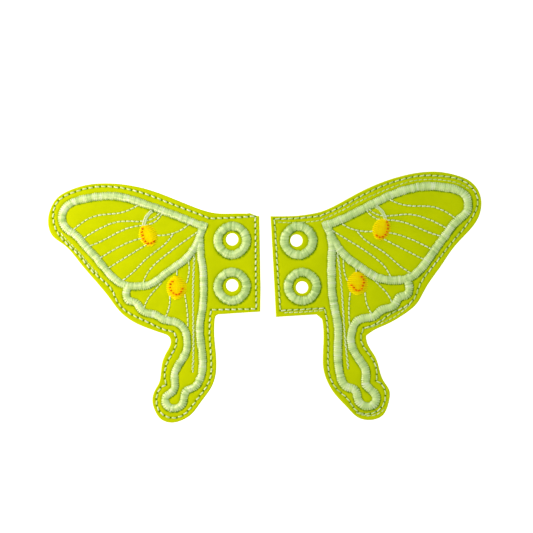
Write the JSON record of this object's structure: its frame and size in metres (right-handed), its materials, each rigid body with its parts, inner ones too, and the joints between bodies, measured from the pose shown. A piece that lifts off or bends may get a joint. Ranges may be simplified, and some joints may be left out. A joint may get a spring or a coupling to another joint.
{
  "type": "lace-on shoe wing pair",
  "caption": "Mirrored pair of flat embroidered vinyl luna-moth wings, each with a two-eyelet tab that laces on to a shoe.",
  "frame": {"origin": "centre of the pair's outline, on the underside of the back vinyl", "axes": "+X across the pair towards the right wing's tip, +Y up towards the wings' leading edges, +Z out of the embroidered face"},
  "size_m": [0.1864, 0.108, 0.0028],
  "materials": {
    "lime_vinyl": "lime faux-leather vinyl with a fine grain and a soft sheen",
    "green_thread": "pale green rayon embroidery thread, satin sheen",
    "yellow_thread": "bright yellow embroidery thread, satin sheen",
    "orange_thread": "orange-red embroidery thread",
    "bobbin_thread": "white bobbin thread, matt",
    "stabiliser": "white non-woven embroidery stabiliser"
  },
  "bodies": {
    "left_tab": {"left_back_eyelet_stitching": "bobbin_thread", "left_fold_back_vinyl": "lime_vinyl", "left_fold_front_vinyl": "lime_vinyl", "left_fold_stabiliser": "stabiliser", "left_fold_stitching": "green_thread", "left_lower_eyelet_ring": "green_thread", "left_tab_back_stitching": "bobbin_thread", "left_tab_back_vinyl": "lime_vinyl", "left_tab_edge_stitching": "green_thread", "left_tab_front_vinyl": "lime_vinyl", "left_tab_stabiliser": "stabiliser", "left_upper_eyelet_ring": "green_thread"},
    "left_wing": {"left_forewing_border": "green_thread", "left_forewing_eyespot": "yellow_thread", "left_forewing_eyespot_accent": "orange_thread", "left_forewing_veins": "green_thread", "left_hindwing_border": "green_thread", "left_hindwing_eyespot": "yellow_thread", "left_hindwing_eyespot_accent": "orange_thread", "left_hindwing_veins": "green_thread", "left_wing_back_stitching": "bobbin_thread", "left_wing_back_vinyl": "lime_vinyl", "left_wing_edge_stitching": "green_thread", "left_wing_front_vinyl": "lime_vinyl", "left_wing_stabiliser": "stabiliser", "left_wing_tack_down_stitching": "green_thread"},
    "right_tab": {"right_back_eyelet_stitching": "bobbin_thread", "right_fold_back_vinyl": "lime_vinyl", "right_fold_front_vinyl": "lime_vinyl", "right_fold_stabiliser": "stabiliser", "right_fold_stitching": "green_thread", "right_lower_eyelet_ring": "green_thread", "right_tab_back_stitching": "bobbin_thread", "right_tab_back_vinyl": "lime_vinyl", "right_tab_edge_stitching": "green_thread", "right_tab_front_vinyl": "lime_vinyl", "right_tab_stabiliser": "stabiliser", "right_tab_tack_down_stitching": "green_thread", "right_upper_eyelet_ring": "green_thread"},
    "right_wing": {"right_forewing_border": "green_thread", "right_forewing_eyespot": "yellow_thread", "right_forewing_eyespot_accent": "orange_thread", "right_forewing_veins": "green_thread", "right_hindwing_border": "green_thread", "right_hindwing_eyespot": "yellow_thread", "right_hindwing_eyespot_accent": "orange_thread", "right_hindwing_veins": "green_thread", "right_wing_back_stitching": "bobbin_thread", "right_wing_back_vinyl": "lime_vinyl", "right_wing_edge_stitching": "green_thread", "right_wing_front_vinyl": "lime_vinyl", "right_wing_stabiliser": "stabiliser", "right_wing_tack_down_stitching": "green_thread"}
  },
  "joints": [
    {"name": "left_wing_fold", "type": "hinge", "parent": "left_tab", "child": "left_wing", "pos_m": [-0.02297, 0.01404, 0.00095], "axis": [-0.0576, 0.9983, 0], "range_deg": [-45, 45], "stiffness_Nm_per_rad": 0.1, "deforming": ["left_fold_back_vinyl", "left_fold_front_vinyl", "left_fold_stabiliser", "left_fold_stitching"]},
    {"name": "right_wing_fold", "type": "hinge", "parent": "right_tab", "child": "right_wing", "pos_m": [0.02432, 0.01466, 0.00095], "axis": [0.0218, -0.9998, 0], "range_deg": [-45, 45], "stiffness_Nm_per_rad": 0.1, "deforming": ["right_fold_back_vinyl", "right_fold_front_vinyl", "right_fold_stabiliser", "right_fold_stitching"]},
    {"name": "pair_spacing", "type": "slide", "parent": "left_tab", "child": "right_tab", "axis": [1, 0, 0], "range_m": [-0.003, 0.12]}
  ]
}
